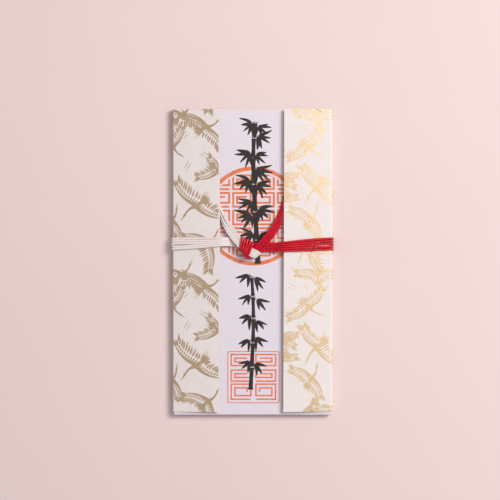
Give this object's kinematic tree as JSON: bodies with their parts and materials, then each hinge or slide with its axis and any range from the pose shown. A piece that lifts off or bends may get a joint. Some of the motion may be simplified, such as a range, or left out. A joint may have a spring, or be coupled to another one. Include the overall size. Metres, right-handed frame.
{
  "type": "shrine talisman packet",
  "caption": "Paper talisman packet in a folded washi wrapper, held by a red and white paper cord band tied in a flat knot at the front.",
  "frame": {"origin": "middle of the outline seen from the front, level with the outer face of the tape at the back", "axes": "+X to the right seen from the front, +Y towards the top edge, +Z out of the front"},
  "size_m": [0.097, 0.1824, 0.0093],
  "materials": {
    "washi": "matte, gold foil pattern on the outside",
    "packet_paper": "smooth matte",
    "thin_paper": "thin, matte",
    "cypress": "planed, bare",
    "white_cord": "starched twist, satin",
    "red_cord": "dyed starched twist, satin",
    "tape": "matte"
  },
  "bodies": {
    "wrapper": {"wrapper_back": "washi", "wrapper_left_fold": "washi", "wrapper_right_fold": "washi", "wrapper_left_flap": "washi", "wrapper_right_flap": "washi"},
    "packet": {"packet_front": "packet_paper", "packet_back_left": "packet_paper", "packet_back_right": "packet_paper", "packet_left_fold": "packet_paper", "packet_right_fold": "packet_paper", "packet_bottom_fold": "packet_paper", "packet_bottom_flap": "packet_paper"},
    "talisman": {"talisman_board": "cypress", "talisman_wrap": "thin_paper"},
    "mizuhiki": {"white_strand_1": "white_cord", "white_strand_2": "white_cord", "white_strand_3": "white_cord", "white_strand_4": "white_cord", "white_strand_5": "white_cord", "red_strand_1": "red_cord", "red_strand_2": "red_cord", "red_strand_3": "red_cord", "red_strand_4": "red_cord", "red_strand_5": "red_cord", "mizuhiki_back_tape": "tape"}
  },
  "joints": [
    {"name": "mizuhiki_slide", "type": "slide", "parent": "wrapper", "child": "mizuhiki", "axis": [0, 1, 0], "range_m": [-0.14, 0.1]},
    {"name": "packet_slide", "type": "slide", "parent": "wrapper", "child": "packet", "axis": [0, 1, 0], "range_m": [-0.185, 0.19]},
    {"name": "talisman_slide", "type": "slide", "parent": "packet", "child": "talisman", "axis": [0, 1, 0], "range_m": [0, 0.185]}
  ]
}
